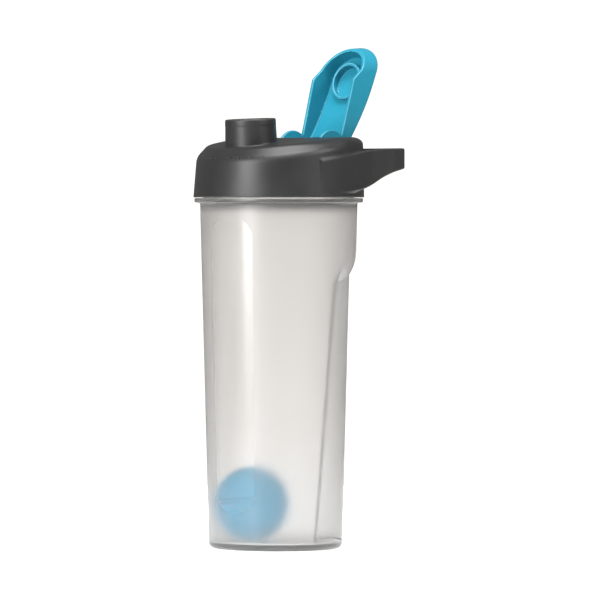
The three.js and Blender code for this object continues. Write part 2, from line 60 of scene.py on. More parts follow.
# ---- sizes of the pieces, in millimetres and degrees ----
GAP = 0.3
BODY = SimpleNamespace(
    base_radius=36.85, upper_radius=40.9, top_radius=41.55, upper_z=155.0, top_z=182.0,
    wall=1.6, floor_z=3.2, foot_round=2.5,
)
GRIP = SimpleNamespace(
    depth=3.45, shoulder_z=156.5, crease_z=145.0, crease_drop=5.2,
    ledge_z=3.6, ledge_rise=2.7, ledge_height=0.8,
    edge_low=103.0, edge_high=84.0, edge_half=1.4, corner_fade=16.0, foot_flat=50.0,
)
COLLAR = SimpleNamespace(radius=44.5, bottom_z=182.3, top_z=184.5)
NECK = SimpleNamespace(radius=39.6, bore=38.0, top_z=203.5)
THREAD = SimpleNamespace(
    pitch=4.5, turns=1.3, root_half=1.1, tip_half=0.5, start_z=189.5, neck_tip=41.3, lid_tip=40.1,
)
LID = SimpleNamespace(
    bottom_z=184.8, bottom_radius=45.1, front_radius=43.4, back_radius=44.7,
    crease_front=204.6, crease_back=210.2, bore=41.9, seat_z=205.6,
    deck_top=216.7, deck_slope=0.137, deck_turn=8.0, deck_soft=4.0,
)
# Pairs are the value at the lid's front and the value at its back.
COVER = SimpleNamespace(
    bevel=(5, 0.2), flat_radius=(36.4, 38.8), bevel_drop=(0.5, 3.7), crease_round=(1.3, 0.3),
    rim_across=(1.0, 5.7), rim_down=(1.0, 3.7), front_x=-28, back_x=14,
)
PLUG_SKIRT = SimpleNamespace(inner=35.9, outer=37.6, bottom_z=200.0)
CEILING = SimpleNamespace(front=208.8, back=214.0, front_x=-36.0, turn=8.0)
SPOUT = SimpleNamespace(
    top_x=-21.4, top_z=226.1, top_radius=13.2, bore=11.7, lean=3.0, draft=2.2,
    lip_drop=3.4, lip_out=0.12, lip_fade=0.3, foot_reach=60, foot_front=206, foot_back=214,
)
CAP = SimpleNamespace(
    lean=57.5, face=12.7, bow=165.0, bow_x=22.0, belly=14.3, plate=1.9, wall=1.7,
    tip=61.95, lip_tip=66.0, ear_half=15.0, ear_x=6.0, tip_half=15.7, wide_x=36.3, edge=1.4,
    corner_x=10.0, corner_depth=6.15, kink_x=40.3, kink_depth=14.7,
    slope_end_x=47.95, slope_end_depth=12.0, tip_depth=11.3,
    lobe_radius=11.5, lobe_x=-1.3, lobe_z=-5.2, barrel_end=191.0,
    plug_x=44.8, plug_z=-6.8, plug_tilt=16.3, plug_radius=10.1, plug_wall=1.3,
)
POCKET = SimpleNamespace(half=15.6, wall=1.8, end_wall=2.4, clearance=0.4)
PIN = SimpleNamespace(radius=1.5, half=16.9, hole_end=17.2)
# Radii of the rounded outer edges and of the fillets in inner corners.
EDGE = SimpleNamespace(
    skirt_bottom=0.4, bore=0.3, ceiling=0.4, pocket=0.45, pin_hole=0.1, spout_bore=0.5,
    spout_top=0.75, loop=1.1, cap_rim=0.45, cap_room=0.8, cap_opening=0.35, plug=0.3, cap_pin=0.2,
)
FILLET = SimpleNamespace(loop=1.2, plug_skirt=0.3, spout=0.5, well=0.3, cap_plug=0.5)
LOOP = SimpleNamespace(
    thick=4.0, end_x=82.0, end_half=17.4, taper=0.44, corner=3.0,
    end_bottom=200.5, end_top=211.4, end_straight=5,
)
GASKET = SimpleNamespace(inner=37.9, outer=41.5, bottom_z=203.85, top_z=205.3)
BALL = SimpleNamespace(radius=19.7, wall=1.8, tilt=8.0, band_half=1.6, band_out=0.5)
WINDOW = SimpleNamespace(
    half_width=13.8, bottom_z=20.0, top_z=174.5, corner=11.5, radius=38.5, turn=4.3, fade=1.2)

JOINT = {joint["name"]: joint for joint in frame["joints"]}
HINGE = Vector(JOINT["cap_hinge"]["pos_m"]) / MM


# ---- small maths ----
def blend(start, end, share):
    return start + (end - start) * share


def smooth(value, low, high):
    share = np.clip((value - low) / (high - low), 0, 1)
    return share * share * (3 - 2 * share)


def arc(x, z, radius, start, end, steps):
    """Points on a circle, from one angle in degrees to another."""
    turns = np.radians(np.linspace(start, end, steps + 1))
    return [(x + radius * math.cos(t), z + radius * math.sin(t)) for t in turns]


def catmull_rom(points, steps):
    """A smooth curve through the points, with steps points to each stretch."""
    given = np.array(points, float)
    held = np.vstack([given[:1], given, given[-1:]])
    curve = []
    for before, start, end, after in zip(held, held[1:], held[2:], held[3:]):
        for t in np.arange(steps) / steps:
            bend = 2 * before - 5 * start + 4 * end - after
            twist = 3 * start - before - 3 * end + after
            curve.append(start + t * (end - before) / 2 + t * t * bend / 2 + t ** 3 * twist / 2)
    curve.append(given[-1])
    return np.array(curve)


# ---- solids as distance fields: below zero inside, in millimetres ----
def join(first, second, fillet):
    """Both solids, with a fillet where they meet."""
    near = np.hypot(np.maximum(fillet - first, 0), np.maximum(fillet - second, 0))
    return np.maximum(fillet, np.minimum(first, second)) - near


def meet(first, second, rounding):
    """What both solids share, with rounded edges."""
    near = np.hypot(np.maximum(rounding + first, 0), np.maximum(rounding + second, 0))
    return np.minimum(-rounding, np.maximum(first, second)) + near


def cut(first, second, rounding):
    return meet(first, -second, rounding)


def line_side(u, v, start, end):
    """Distance to the right of the line from start to end."""
    du = end[0] - start[0]
    dv = end[1] - start[1]
    return ((u - start[0]) * dv - (v - start[1]) * du) / np.hypot(du, dv)


def outline(points, u, v):
    """Distance from a closed outline in the plane."""
    u, v = np.broadcast_arrays(u, v)
    nearest = np.full(u.shape, np.inf)
    inside = np.zeros(u.shape, bool)
    for (u0, v0), (u1, v1) in zip(points, [*points[1:], points[0]]):
        du, dv = u1 - u0, v1 - v0
        along = np.clip(((u - u0) * du + (v - v0) * dv) / (du * du + dv * dv), 0, 1)
        nearest = np.minimum(nearest, (u - u0 - along * du) ** 2 + (v - v0 - along * dv) ** 2)
        if dv:
            inside ^= ((v0 <= v) != (v1 <= v)) & (u < u0 + (v - v0) * du / dv)
    return np.where(inside, -1, 1) * np.sqrt(nearest)


def surface_of(field, low, high, step):
    """The field's zero surface as points and quads, found on a grid and then refined."""
    low = np.array(low, float)
    counts = np.ceil((np.array(high, float) - low) / step).astype(int) + 1
    x, y, z = (low[i] + step * np.arange(counts[i]) for i in range(3))
    values = field(x[:, None, None], y[None, :, None], z[None, None, :])
    inside = values < 0
    corners = np.zeros(np.array(inside.shape) - 1, np.int8)
    offsets = [np.array(o) for o in np.ndindex(2, 2, 2)]
    for i, j, k in offsets:
        corners += inside[i:][: counts[0] - 1, j:][:, : counts[1] - 1, k:][:, :, : counts[2] - 1]
    mixed = (corners > 0) & (corners < 8)
    cells = np.argwhere(mixed)
    number = np.zeros(mixed.shape, np.int64)
    number[mixed] = np.arange(len(cells))
    points = np.zeros((len(cells), 3))
    hits = np.zeros((len(cells), 1))
    for axis, along in enumerate(np.eye(3, dtype=int)):
        for offset in offsets:
            if offset[axis]:
                continue
            start = cells + offset
            a = values[tuple(start.T)]
            b = values[tuple((start + along).T)]
            crossed = ((a < 0) != (b < 0))[:, None]
            share = np.divide(a, a - b, out=np.zeros_like(a), where=crossed[:, 0])
            points += crossed * (start + share[:, None] * along)
            hits += crossed
    points = low + step * points / hits
    quads = []
    for axis in range(3):
        side, up = (axis + 1) % 3, (axis + 2) % 3
        core = [slice(1, -1)] * 3
        core[axis] = slice(0, -1)
        ahead = list(core)
        ahead[axis] = slice(1, None)
        entering = inside[tuple(ahead)].astype(int) - inside[tuple(core)]
        edges = np.argwhere(entering != 0)
        leaving = entering[tuple(edges.T)] < 0
        first = np.zeros(3, int)
        first[[side, up]] = 1
        edges = edges + first
        ring = []
        for back_side, back_up in ((1, 1), (0, 1), (0, 0), (1, 0)):
            cell = edges.copy()
            cell[:, side] -= back_side
            cell[:, up] -= back_up
            ring.append(number[tuple(cell.T)])
        quad = np.stack(ring, axis=1)
        quad[~leaving] = quad[~leaving][:, ::-1]
        quads.append(quad)
    return refined(field, points, step), np.vstack(quads)


def refined(field, points, step):
    """Points moved along the field's slope until they lie on its zero surface."""
    reach = 0.02
    passes = 3
    weakest = 0.25
    for _ in range(passes):
        slope = np.empty_like(points)
        for axis, along in enumerate(np.eye(3) * reach):
            slope[:, axis] = field(*(points + along).T) - field(*(points - along).T)
        slope /= 2 * reach
        strength = np.maximum((slope ** 2).sum(axis=1), weakest)
        move = -(field(*points.T) / strength)[:, None] * slope
        points = points + np.clip(move, -step / 2, step / 2)
    return points


# ---- meshes ----
def add_piece(name, points, faces, look, body, nodes):
    """A smooth-shaded piece that rides on a CAD body and stands for CAD nodes."""
    mesh = bpy.data.meshes.new(name)
    mesh.from_pydata((np.asarray(points) * MM).tolist(), [], [list(map(int, f)) for f in faces])
    mesh.shade_smooth()
    mesh.materials.append(look.material)
    piece = bpy.data.objects.new(name, mesh)
    bpy.context.scene.collection.objects.link(piece)
    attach(piece, body)
    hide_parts(*nodes)
    return piece


def loft_faces(rows, columns, tip_first=False, tip_last=False, wrap=False):
    """Quads between rings of points, with fans where the first or last ring is one point."""
    faces = []
    ring = np.arange(columns)
    after = np.roll(ring, -1)
    offset = 1 if tip_first else 0
    if tip_first:
        faces += [(0, offset + b, offset + a) for a, b in zip(ring, after)]
    for i in range(rows if wrap else rows - 1):
        low = offset + i * columns
        high = offset + ((i + 1) % rows) * columns
        faces += [(low + a, low + b, high + b, high + a) for a, b in zip(ring, after)]
    if tip_last:
        last = offset + (rows - 1) * columns
        tip = offset + rows * columns
        faces += [(last + a, last + b, tip) for a, b in zip(ring, after)]
    return faces


def turned(profile, columns, closed=False):
    """A profile of radius and height turned about Z, anticlockwise so that faces point out.

    An open profile starts and ends on the axis."""
    angle = 2 * math.pi * np.arange(columns) / columns
    rings = profile if closed else profile[1:-1]
    points = []
    for r, z in rings:
        points += zip(r * np.cos(angle), r * np.sin(angle), np.full(columns, z))
    if not closed:
        points = [(0, 0, profile[0][1]), *points, (0, 0, profile[-1][1])]
    return np.array(points), loft_faces(len(rings), columns, not closed, not closed, closed)


def rounded(profile, radius, steps=4):
    """The profile with each sharp corner replaced by a small arc, and points beside it."""
    made = [profile[0]]
    for before, corner, after in zip(profile, profile[1:], profile[2:]):
        corner = np.array(corner, float)
        back = np.array(before, float) - corner
        ahead = np.array(after, float) - corner
        reach = min(radius, 0.45 * np.hypot(*back), 0.45 * np.hypot(*ahead))
        start = corner + reach * back / np.hypot(*back)
        end = corner + reach * ahead / np.hypot(*ahead)
        for t in np.linspace(0, 1, steps + 1):
            made.append(tuple((1 - t) ** 2 * start + 2 * t * (1 - t) * corner + t * t * end))
    made.append(profile[-1])
    return made


# ---- bottle body ----
def front_radius(z):
    lower = blend(BODY.base_radius, BODY.upper_radius, z / BODY.upper_z)
    share = (z - BODY.upper_z) / (BODY.top_z - BODY.upper_z)
    return np.where(z < BODY.upper_z, lower, blend(BODY.upper_radius, BODY.top_radius, share))


def side_share(angle):
    return np.minimum((np.abs(angle) / GRIP.edge_high) ** 3, 1)


def crease_height(angle):
    return GRIP.crease_z - GRIP.crease_drop * side_share(angle)


def ledge_height(angle):
    return GRIP.ledge_z + GRIP.ledge_rise * side_share(angle)


def edge_angle(z):
    return blend(GRIP.edge_low, GRIP.edge_high, np.clip(z / GRIP.crease_z, 0, 1))


def grip_inset(angle, z):
    """How far the wall is set in at an angle, in degrees from the back centre."""
    away = np.abs(angle)
    edge = edge_angle(z)
    fade = GRIP.edge_half + GRIP.corner_fade * smooth(z, crease_height(angle), GRIP.shoulder_z)
    inside = 1 - smooth(away, edge - fade, edge + GRIP.edge_half)
    foot = 1 - smooth(away, GRIP.foot_flat, GRIP.edge_low)
    height = GRIP.shoulder_z - crease_height(angle)
    bend = (height ** 2 + GRIP.depth ** 2) / (2 * GRIP.depth)
    drop = np.clip(GRIP.shoulder_z - z, 0, height)
    depth = bend - np.sqrt(bend ** 2 - drop ** 2)
    ledge = ledge_height(angle)
    above = smooth(z, ledge, ledge + GRIP.ledge_height)
    return blend(GRIP.depth * foot, depth * inside, above)


BODY_COLUMNS = 248
STEP_COLUMNS = 10


def column_angles(z):
    """Angles of the columns at height z, crowded at the slanted edge of the grip."""
    half = BODY_COLUMNS // 2
    column = np.arange(BODY_COLUMNS)
    signed = np.where(column <= half, column, column - BODY_COLUMNS)
    place = np.abs(signed)
    start = round(half * 0.47)
    end = start + STEP_COLUMNS
    edge = edge_angle(z)
    inner = (edge - GRIP.edge_half) * place / start
    step = edge + GRIP.edge_half * (2 * (place - start) / STEP_COLUMNS - 1)
    outer = blend(edge + GRIP.edge_half, 180, (place - end) / (half - end))
    angle = np.where(place < start, inner, np.where(place <= end, step, outer))
    return np.sign(signed) * angle


def neck_ridge(angle, z):
    """Height of the neck's screw thread above the neck."""
    turn = (angle / 360) % 1
    rise = np.zeros_like(z)
    for lap in range(2):
        along = turn + lap
        across = np.abs(z - THREAD.start_z - THREAD.pitch * along)
        flank = 1 - smooth(across, THREAD.tip_half, THREAD.root_half + 0.2)
        ends = smooth(along, 0, 0.06) * (1 - smooth(along, THREAD.turns - 0.06, THREAD.turns))
        rise = np.maximum(rise, flank * ends)
    return (THREAD.neck_tip - NECK.radius) * rise


def wall_row(z, inset=0.0, beyond=0.0):
    """Angle, radius and height of a ring on the wall. z may be a function of the angle."""
    first = column_angles(BODY.upper_z / 2)
    near = z(first) if callable(z) else np.full_like(first, z)
    angle = column_angles(near)
    height = z(angle) if callable(z) else near
    return angle, front_radius(height) - grip_inset(angle, height) - inset + beyond, height


def ring_row(radius, z):
    angle = column_angles(np.full(BODY_COLUMNS, float(z)))
    return angle, np.full(BODY_COLUMNS, float(radius)), np.full(BODY_COLUMNS, float(z))


def profile_rows(profile, radius):
    return [ring_row(r, z) for r, z in rounded(profile, radius, 3)]


def foot_row(turn):
    angle = column_angles(np.zeros(BODY_COLUMNS))
    drop = BODY.foot_round * (1 - math.sin(math.radians(turn)))
    height = np.full(BODY_COLUMNS, BODY.foot_round * (1 - math.cos(math.radians(turn))))
    return angle, front_radius(0) - grip_inset(angle, 0 * angle) - drop, height


def wall_heights():
    """Heights of the rings from the ledge to the shoulder, as functions of the angle."""
    heights = []
    for share in np.linspace(0, 1, 46)[1:-1]:
        heights.append(lambda angle, s=share: blend(
            ledge_height(angle) + GRIP.ledge_height + 0.4, crease_height(angle) - 0.9, s))
    for offset in (-0.9, -0.45, -0.15, 0.15, 0.45, 0.9):
        heights.append(lambda angle, o=offset: crease_height(angle) + o)
    for share in np.linspace(0.12, 1.1, 16):
        heights.append(lambda angle, s=share: blend(crease_height(angle), GRIP.shoulder_z, s))
    return heights


def bottle_body(look):
    base_groove = [(22, 0), (24, 0), (24.6, 0.5), (27.4, 0.5), (28, 0), (30, 0)]
    rows = [ring_row(r, 0) for r in (0.6, 6, 12, 18)]
    rows += profile_rows(base_groove, 0.3)
    rows += [foot_row(turn) for turn in np.linspace(0, 90, 10)]
    for offset in (-0.6, -0.2, 0, 0.2, 0.4, 0.6, 0.8, 1.0):
        rows.append(wall_row(lambda angle, o=offset: ledge_height(angle) + o))
    rows += [wall_row(z) for z in wall_heights()]
    rows += [wall_row(z) for z in np.linspace(160, BODY.top_z - 1.2, 9)]
    flare = 0.8
    for turn in np.radians(np.linspace(10, 90, 5)):
        rise = flare * math.sin(turn)
        out = flare * (1 - math.cos(turn))
        rows.append(wall_row(BODY.top_z - flare + rise, beyond=out))
    rows += profile_rows([
        (BODY.top_radius + 1.1, COLLAR.bottom_z - 0.25), (COLLAR.radius, COLLAR.bottom_z),
        (COLLAR.radius, COLLAR.top_z), (NECK.radius + 0.3, COLLAR.top_z),
    ], 0.45)
    ring_gap = 0.3
    for z in np.arange(COLLAR.top_z + ring_gap, NECK.top_z - 0.5, ring_gap):
        angle, radius, height = ring_row(NECK.radius, z)
        rows.append((angle, radius + neck_ridge(angle, height), height))
    inner_start = COLLAR.bottom_z + 1.4
    rows += profile_rows([
        (NECK.radius, NECK.top_z - 0.5), (NECK.radius, NECK.top_z), (NECK.bore, NECK.top_z),
        (NECK.bore, inner_start), (NECK.bore + 0.1, inner_start - 0.3),
    ], 0.4)
    rows += [wall_row(z, BODY.wall) for z in np.linspace(BODY.top_z - 3, 160, 8)]
    rows += [wall_row(z, BODY.wall) for z in wall_heights()[2:][::-1]]
    fillet = 2.2
    for turn in np.radians(np.linspace(0, 90, 7)):
        inwards = fillet * (1 - math.cos(turn))
        z = BODY.floor_z + fillet * (1 - math.sin(turn))
        angle, radius, height = wall_row(BODY.floor_z + fillet + 2, BODY.wall + inwards)
        rows.append((angle, radius, np.full_like(height, z)))
    rows += [ring_row(r, BODY.floor_z) for r in (28, 20, 12, 6, 0.6)]
    points = [(0, 0, 0)]
    for angle, radius, height in rows:
        turn = np.radians(angle)
        points += zip(radius * np.cos(turn), radius * np.sin(turn), height)
    points.append((0, 0, BODY.floor_z))
    faces = loft_faces(len(rows), BODY_COLUMNS, True, True)
    return add_piece("bottle_body_shell", points, faces, look, "bottle", ["bottle_body"])


# ---- lid ----
def deck_height(x):
    ahead = LID.deck_turn - x
    return LID.deck_top - LID.deck_slope * (ahead + np.hypot(ahead, LID.deck_soft)) / 2


def cover_field(x, y, z):
    """The lid without its spout and loop: a skirt, a slanting band above it and a deck."""
    r = np.hypot(x, y)
    facing = x / np.maximum(r, 0.001)
    crease_r = blend(LID.front_radius, LID.back_radius, smooth(facing, -0.6, 0.7))
    crease_x = crease_r * facing
    crease_z = blend(LID.crease_front, LID.crease_back, smooth(crease_x, -43, 0))
    back = smooth(crease_x, COVER.front_x, COVER.back_x)
    bevel_r = crease_r - blend(*COVER.bevel, back)
    flat_r = blend(*COVER.flat_radius, back)
    flat_z = deck_height(flat_r * facing)
    bevel_z = np.minimum(deck_height(bevel_r * facing), flat_z)
    bevel_z = bevel_z - blend(*COVER.bevel_drop, back)
    skirt = line_side(r, z, (LID.bottom_radius, LID.bottom_z), (crease_r, crease_z))
    band = line_side(r, z, (crease_r, crease_z), (bevel_r, bevel_z))
    wall = meet(skirt, band, blend(*COVER.crease_round, back))
    top = z - deck_height(x)
    across = blend(*COVER.rim_across, back)
    down = blend(*COVER.rim_down, back)
    u = np.maximum(wall / across + 1, 0)
    v = np.maximum(top / down + 1, 0)
    rim = (np.hypot(u, v) - 1) * np.minimum(across, down)
    cover = np.where((u > 0) & (v > 0), rim, np.maximum(wall, top))
    return meet(cover, LID.bottom_z - z, EDGE.skirt_bottom)


def loop_plan():
    """Outer outline of the carry loop, seen from above."""
    side = catmull_rom(
        [(-14, 42.2), (-2, 44.6), (8, 44.9), (18, 44), (30, 41), (50, 31.2), (66, 22.24),
         (LOOP.end_x - LOOP.end_straight, LOOP.end_half)], 6)
    centre_x = LOOP.end_x - LOOP.corner
    arm_y = LOOP.end_half - LOOP.taper * (centre_x - LOOP.end_x + LOOP.end_straight)
    centre_y = arm_y - LOOP.corner * math.hypot(1, LOOP.taper)
    start = 90 - math.degrees(math.atan(LOOP.taper))
    half = [tuple(p) for p in side] + arc(centre_x, centre_y, LOOP.corner, start, 0, 6)
    return [(px, -py) for px, py in half] + half[::-1]


def loop_side():
    """Outline of the carry loop seen from the side, from under the skirt round to its top."""
    end = LOOP.end_x + 2
    under = catmull_rom(
        [(-12, 187.6), (8, 187.6), (19, 189), (34, 192.8), (46, 195.4), (58, 197.2),
         (end, LOOP.end_bottom)], 5)
    over = catmull_rom(
        [(end, LOOP.end_top), (50, 210.6), (24, 209.6), (0, 206.2), (-12, 204.4)], 5)
    return [tuple(p) for p in under] + [tuple(p) for p in over]


LOOP_PLAN = loop_plan()
LOOP_SIDE = loop_side()


def loop_field(x, y, z):
    strap = np.abs(outline(LOOP_PLAN, x, y) + LOOP.thick / 2) - LOOP.thick / 2
    return meet(strap, outline(LOOP_SIDE, x, z), EDGE.loop)


def spout_fields(x, y, z):
    """The spout's outside and its bore, about an axis that leans a little forwards."""
    lean = math.radians(SPOUT.lean)
    dx, dz = x - SPOUT.top_x, z - SPOUT.top_z
    across = dx * math.cos(lean) + dz * math.sin(lean)
    above = dz * math.cos(lean) - dx * math.sin(lean)
    r = np.hypot(across, y)
    lip = SPOUT.lip_out * smooth(
        above, -SPOUT.lip_drop - SPOUT.lip_fade, -SPOUT.lip_drop + SPOUT.lip_fade)
    side = r - SPOUT.top_radius + above * math.tan(math.radians(SPOUT.draft)) - lip
    foot = line_side(
        x, z, (-SPOUT.foot_reach, SPOUT.foot_front), (SPOUT.foot_reach, SPOUT.foot_back))
    return np.maximum(meet(side, above, EDGE.spout_top), foot), r - SPOUT.bore


def pocket_field(x, z, clearance):
    """Room for the cap's ears and outer face, open upwards and backwards.

    In front of the hinge it also reaches down in a wedge, some 20 mm below the pocket of
    the CAD lid, so the lid has a wedge there that the ball meets when all joints are up."""
    px, pz = x - HINGE.x, z - HINGE.z
    lean = math.radians(CAP.lean)
    along = px * math.cos(lean) + pz * math.sin(lean)
    above = -px * math.sin(lean) + pz * math.cos(lean)
    ahead = np.maximum(-pz, -px - CAP.face - clearance)
    behind = cap_face(along, above, -clearance)
    return np.maximum(np.minimum(behind, ahead), -px - CAP.face - clearance)


def lid_thread(x, y, z):
    r = np.hypot(x, y)
    turn = (np.arctan2(y, x) / (2 * math.pi)) % 1
    ridge = np.inf
    for lap in range(2):
        along = turn + lap
        across = np.abs(z - THREAD.start_z + THREAD.pitch / 2 - THREAD.pitch * along)
        share = np.clip((r - THREAD.lid_tip) / (LID.bore - THREAD.lid_tip), 0, 1)
        flank = across - blend(THREAD.tip_half, THREAD.root_half, share)
        ends = np.maximum(-along, along - THREAD.turns) * 2 * math.pi * LID.bore
        ridge = np.minimum(ridge, np.maximum(flank, ends))
    return np.maximum(np.maximum(ridge, THREAD.lid_tip - r), r - LID.bore - 0.5)


def lid_field(x, y, z):
    r = np.hypot(x, y)
    lid = join(cover_field(x, y, z), loop_field(x, y, z), FILLET.loop)
    lid = cut(lid, np.maximum(r - LID.bore, z - LID.seat_z), EDGE.bore)
    plug = np.maximum(r - PLUG_SKIRT.outer, PLUG_SKIRT.bottom_z - z)
    lid = join(lid, np.maximum(plug, z - LID.seat_z - 1), FILLET.plug_skirt)
    slope = line_side(x, z, (CEILING.front_x, CEILING.front), (CEILING.turn, CEILING.back))
    ceiling = np.minimum(np.maximum(-slope, z - CEILING.back), z - CEILING.front)
    lid = cut(lid, np.maximum(r - PLUG_SKIRT.inner, ceiling), EDGE.ceiling)
    spout, bore = spout_fields(x, y, z)
    lid = join(lid, spout, FILLET.spout)
    well_side = pocket_field(x, z, POCKET.clearance + POCKET.wall)
    well = np.maximum(well_side, np.abs(y) - POCKET.half - POCKET.end_wall)
    well = np.maximum(np.maximum(well, z - CEILING.back), r - PLUG_SKIRT.outer)
    lid = join(lid, well, FILLET.well)
    pocket = np.maximum(pocket_field(x, z, POCKET.clearance), np.abs(y) - POCKET.half)
    lid = cut(lid, pocket, EDGE.pocket)
    pin_hole = np.hypot(x - HINGE.x, z - HINGE.z) - PIN.radius - GAP
    lid = cut(lid, np.maximum(pin_hole, np.abs(y) - PIN.hole_end), EDGE.pin_hole)
    lid = cut(lid, bore, EDGE.spout_bore)
    return np.minimum(lid, lid_thread(x, y, z))


def lid_shell(look):
    margin = 1.5
    reach = LID.bottom_radius + margin
    low = (-reach, -reach - margin, LID.bottom_z - margin)
    high = (LOOP.end_x + margin, reach + margin, SPOUT.top_z + margin)
    step = 0.56
    points, faces = surface_of(lid_field, low, high, step)
    return add_piece("lid_moulding", points, faces, look, "lid", ["lid_shell"])


# ---- flip cap, in its own frame: X along its length, the outer face down ----
def cap_width(x):
    return np.interp(x, [CAP.ear_x, CAP.wide_x], [CAP.ear_half, CAP.tip_half])


def cap_rim():
    """Side outline that the cap's edges are trimmed to, open downwards and backwards."""
    corner_z = CAP.corner_depth - CAP.face
    start = math.degrees(math.atan2(corner_z - CAP.lobe_z, CAP.corner_x - CAP.lobe_x))
    end_z = CAP.face * math.sin(math.radians(CAP.barrel_end))
    end_x = CAP.face * math.cos(math.radians(CAP.barrel_end))
    end = math.degrees(math.atan2(end_z - CAP.lobe_z, end_x - CAP.lobe_x))
    behind, beyond, below = -30, 90, -30
    return [
        (behind, below),
        (beyond, below),
        (beyond, CAP.tip_depth - CAP.face),
        (CAP.tip, CAP.tip_depth - CAP.face),
        (CAP.slope_end_x, CAP.slope_end_depth - CAP.face),
        (CAP.kink_x, CAP.kink_depth - CAP.face),
        *arc(CAP.lobe_x, CAP.lobe_z, CAP.lobe_radius, start, end, 28),
        (behind, end_z),
    ]


def cap_face(x, z, inset):
    """Distance past the bowed outer face and the rounded end at the hinge, or a surface
    set in from them."""
    barrel = CAP.face - inset
    tangent = CAP.bow_x * barrel / (CAP.bow - CAP.face)
    bow = np.hypot(x - CAP.bow_x, z - CAP.bow + CAP.belly) - CAP.bow + inset
    over = barrel * math.sin(math.radians(CAP.barrel_end)) - z
    return np.minimum(np.minimum(np.hypot(x, z) - barrel, np.maximum(-x - tangent, bow)),
                      np.maximum(over, bow))


def cap_plan(x, y, tip, half_width):
    centre = tip - CAP.tip_half
    end = np.hypot(x - centre, y) - CAP.tip_half
    return np.where(x < centre, np.abs(y) - half_width, end)


CAP_RIM = cap_rim()


def cap_field(x, y, z):
    rim_z = CAP.tip_depth - CAP.face
    lip_z = CAP.bow - CAP.belly - math.sqrt(
        (CAP.bow - CAP.edge) ** 2 - (CAP.lip_tip - CAP.bow_x) ** 2)
    flare = (CAP.lip_tip - CAP.tip) / (rim_z - lip_z)
    sides = cap_plan(x, y, CAP.tip + flare * (rim_z - z), cap_width(x))
    outside = meet(np.maximum(sides, -x - CAP.face), cap_face(x, z, 0), CAP.edge)
    outside = meet(outside, outline(CAP_RIM, x, z), EDGE.cap_rim)
    room = cap_plan(x, y, CAP.tip, cap_width(x)) + CAP.wall
    room = meet(room, cap_face(x, z, CAP.plate), EDGE.cap_room)
    cap = cut(outside, room, EDGE.cap_opening)
    tilt = math.radians(CAP.plug_tilt)
    px, pz = x - CAP.plug_x, z - CAP.plug_z
    along = px * math.cos(tilt) + pz * math.sin(tilt)
    above = -px * math.sin(tilt) + pz * math.cos(tilt)
    half_wall = CAP.plug_wall / 2
    ring = np.abs(np.hypot(along, y) - CAP.plug_radius + half_wall) - half_wall
    ring = np.maximum(meet(ring, above, EDGE.plug), cap_face(x, z, CAP.plate / 2))
    cap = join(cap, ring, FILLET.cap_plug)
    return cut(cap, np.hypot(x, z) - PIN.radius - GAP, EDGE.cap_pin)


def cap_place():
    """From the cap's own frame to the open cap on its hinge."""
    return Matrix.Translation(HINGE) @ Matrix.Rotation(-math.radians(CAP.lean), 4, "Y")


def moved(points, matrix):
    turn = np.array(matrix.to_3x3())
    return points @ turn.T + np.array(matrix.translation)


def flip_cap(look):
    margin = 1.2
    low = (-CAP.face - margin, -CAP.tip_half - margin, -CAP.belly - margin)
    high = (CAP.lip_tip + margin, CAP.tip_half + margin, CAP.lobe_z + CAP.lobe_radius + margin)
    step = 0.32
    points, faces = surface_of(cap_field, low, high, step)
    points = moved(points, cap_place())
    return add_piece("flip_cap_moulding", points, faces, look, "cap", ["flip_cap"])


# ---- small pieces ----
def gasket(look):
    corners = [
        (GASKET.inner, GASKET.bottom_z), (GASKET.outer, GASKET.bottom_z),
        (GASKET.outer, GASKET.top_z), (GASKET.inner, GASKET.top_z),
    ]
    middle = (GASKET.inner + GASKET.outer) / 2
    start = (middle, GASKET.bottom_z)
    profile = rounded([start, *corners[1:], corners[0], start], 0.5)
    points, faces = turned(profile[:-1], 160, closed=True)
    return add_piece("gasket_ring", points, faces, look, "lid_ring", ["lid_gasket"])


def hinge_pin(look):
    profile = [
        (0, -PIN.half), (PIN.radius - 0.3, -PIN.half), (PIN.radius, -PIN.half + 0.4),
        (PIN.radius, PIN.half - 0.4), (PIN.radius - 0.3, PIN.half), (0, PIN.half),
    ]
    points, faces = turned(rounded(profile, 0.12, 3), 32)
    place = Matrix.Translation(HINGE) @ Matrix.Rotation(-math.pi / 2, 4, "X")
    return add_piece("cap_pin", moved(points, place), faces, look, "lid", ["hinge_pin"])


def ball_half(side, look, place, name, node):
    """One half of the mixing ball: a cup with a raised band at its rim."""
    rim = GAP / 2
    band = BALL.radius + BALL.band_out
    band_angle = math.degrees(math.asin(BALL.band_half / BALL.radius))
    outer = arc(0, 0, BALL.radius, 90, band_angle, 36)
    inner = arc(0, 0, BALL.radius - BALL.wall, 1, 90, 36)
    edge = rounded([
        outer[-1], (band, BALL.band_half - 0.1), (band, rim), (BALL.radius - BALL.wall, rim),
        inner[0],
    ], 0.2, 3)
    profile = [(r, side * z) for r, z in [*outer[:-1], *edge, *inner[1:]]]
    profile[0] = (0, profile[0][1])
    profile[-1] = (0, profile[-1][1])
    points, faces = turned(profile[::-1] if side > 0 else profile, 112)
    return add_piece(name, moved(points, place), faces, look, "ball", [node])


def mixing_ball(look):
    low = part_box("mixer_ball_lower")
    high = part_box("mixer_ball_upper")
    centre = (low[0] + high[1]) / 2 / MM
    tilt = math.radians(BALL.tilt)
    leaning = Matrix.Rotation(-tilt, 4, "X") @ Matrix.Rotation(tilt, 4, "Y")
    place = Matrix.Translation(centre) @ leaning
    ball_half(1, look, place, "ball_half_upper", "mixer_ball_upper")
    ball_half(-1, look, place, "ball_half_lower", "mixer_ball_lower")


